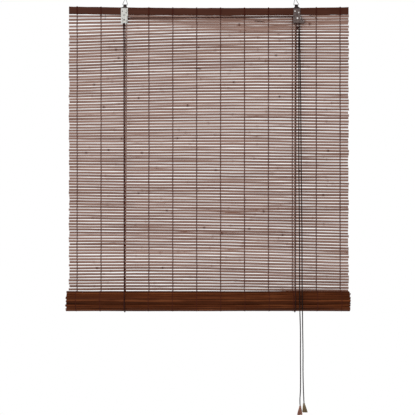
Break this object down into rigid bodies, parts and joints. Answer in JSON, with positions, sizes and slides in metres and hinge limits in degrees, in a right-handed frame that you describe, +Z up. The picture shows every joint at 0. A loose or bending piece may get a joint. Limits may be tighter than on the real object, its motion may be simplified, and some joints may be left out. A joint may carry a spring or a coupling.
{
  "type": "bamboo roll up blind",
  "caption": "Split bamboo roll up blind hung by two wire eyes, lowered part way, with its lower mat on a roll, lift cords over pulleys and two tasselled pull cords.",
  "frame": {"origin": "on the line through the hooks' contact points in the two wire eyes, at the middle of the head rail's length", "axes": "+X along the head rail to the pull cord side, -Y towards the room, +Z up"},
  "size_m": [0.909, 0.0834, 1.3386],
  "materials": {
    "stained_bamboo": "satin stain",
    "rail_bamboo": "satin stain",
    "warp_thread": "twisted thread",
    "lift_cord": "braided cord",
    "tassel_red": "cut threads",
    "tassel_olive": "cut threads",
    "zinc_plate": "bright zinc",
    "lock_steel": "dull zinc",
    "zinc_wire": "zinc wire",
    "nail_steel": "bright",
    "pulley_steel": "turned"
  },
  "bodies": {
    "hangers": {"wire_hanger_left": "zinc_wire", "wire_hanger_right": "zinc_wire"},
    "head": {"head_rail": "rail_bamboo", "bracket_left": "zinc_plate", "bracket_right": "lock_steel", "bracket_nails": "nail_steel", "cord_nail_left": "nail_steel", "cord_nail_right": "nail_steel", "cord_knot_left": "lift_cord", "cord_knot_right": "lift_cord", "pulley_axle_left": "pulley_steel", "pulley_axle_right": "pulley_steel", "cross_cord": "lift_cord", "lock_cord": "lift_cord", "mat_slats_01": "stained_bamboo", "mat_slats_02": "stained_bamboo", "mat_slats_03": "stained_bamboo", "mat_slats_04": "stained_bamboo", "mat_slats_05": "stained_bamboo", "mat_slats_06": "stained_bamboo", "mat_slats_07": "stained_bamboo", "mat_slats_08": "stained_bamboo", "warp_thread_01": "warp_thread", "warp_thread_02": "warp_thread", "warp_thread_03": "warp_thread", "warp_thread_04": "warp_thread", "warp_thread_05": "warp_thread", "warp_thread_06": "warp_thread", "warp_thread_07": "warp_thread", "warp_thread_08": "warp_thread", "warp_thread_09": "warp_thread", "warp_thread_10": "warp_thread", "warp_thread_11": "warp_thread", "warp_thread_12": "warp_thread", "lift_cord_left_back": "lift_cord", "lift_cord_left_front": "lift_cord", "lift_cord_right_back": "lift_cord", "lift_cord_right_front": "lift_cord", "pull_cord_left_upper": "lift_cord", "pull_cord_right_upper": "lift_cord"},
    "pulley_left": {"pulley_left": "pulley_steel"},
    "pulley_right_rear": {"pulley_right_rear": "pulley_steel"},
    "pulley_right_front": {"pulley_right_front": "pulley_steel"},
    "lock_roller": {"lock_roller": "pulley_steel"},
    "slings": {"cord_sling_left": "lift_cord", "cord_sling_right": "lift_cord", "pull_cord_left_lower": "lift_cord", "pull_cord_right_lower": "lift_cord"},
    "roll": {"rolled_mat": "stained_bamboo", "bottom_rail": "stained_bamboo"},
    "tassel_left": {"tassel_left": "tassel_red", "tassel_binding_left": "pulley_steel"},
    "tassel_right": {"tassel_right": "tassel_olive", "tassel_binding_right": "pulley_steel"}
  },
  "joints": [
    {"name": "blind_swing", "type": "hinge", "parent": "hangers", "child": "head", "pos_m": [0, 0, -0.02], "axis": [1, 0, 0], "range_deg": [-45, 0]},
    {"name": "roll_lift", "type": "slide", "parent": "head", "child": "slings", "axis": [0, 0, 1], "range_m": [0, 0.82], "deforming": ["mat_slats_01", "mat_slats_02", "mat_slats_03", "mat_slats_04", "mat_slats_05", "mat_slats_06", "mat_slats_07", "mat_slats_08", "warp_thread_01", "warp_thread_02", "warp_thread_03", "warp_thread_04", "warp_thread_05", "warp_thread_06", "warp_thread_07", "warp_thread_08", "warp_thread_09", "warp_thread_10", "warp_thread_11", "warp_thread_12", "lift_cord_left_back", "lift_cord_left_front", "lift_cord_right_back", "lift_cord_right_front", "pull_cord_left_upper", "pull_cord_right_upper"]},
    {"name": "roll_turn", "type": "hinge", "parent": "slings", "child": "roll", "pos_m": [0, -0.02813, -0.971], "axis": [1, 0, 0], "range_deg": [-0.5, 1428.7]},
    {"name": "tassel_left_drop", "type": "slide", "parent": "slings", "child": "tassel_left", "axis": [0, 0, -1], "range_m": [0, 2.461], "deforming": ["pull_cord_left_lower"]},
    {"name": "tassel_right_drop", "type": "slide", "parent": "slings", "child": "tassel_right", "axis": [0, 0, -1], "range_m": [0, 2.461], "deforming": ["pull_cord_right_lower"]},
    {"name": "pulley_left_turn", "type": "hinge", "parent": "head", "child": "pulley_left", "pos_m": [-0.2722, -0.00458, -0.0683], "axis": [0, 1, 0], "continuous": true},
    {"name": "pulley_right_rear_turn", "type": "hinge", "parent": "head", "child": "pulley_right_rear", "pos_m": [0.2846, -0.00458, -0.064], "axis": [0, 1, 0], "continuous": true},
    {"name": "pulley_right_front_turn", "type": "hinge", "parent": "head", "child": "pulley_right_front", "pos_m": [0.2846, -0.00948, -0.064], "axis": [0, 1, 0], "continuous": true},
    {"name": "lock_roller_slide", "type": "slide", "parent": "head", "child": "lock_roller", "axis": [0.4472, 0, -0.8944], "range_m": [0, 0.011]}
  ],
  "couplings": [
    {"joint": "roll_turn", "follows": "roll_lift", "rad_per_m": 30.303},
    {"joint": "tassel_left_drop", "follows": "roll_lift", "ratio": 3},
    {"joint": "tassel_right_drop", "follows": "roll_lift", "ratio": 3},
    {"joint": "pulley_left_turn", "follows": "roll_lift", "rad_per_m": 344.83},
    {"joint": "pulley_right_rear_turn", "follows": "roll_lift", "rad_per_m": 344.83},
    {"joint": "pulley_right_front_turn", "follows": "roll_lift", "rad_per_m": 344.83}
  ]
}
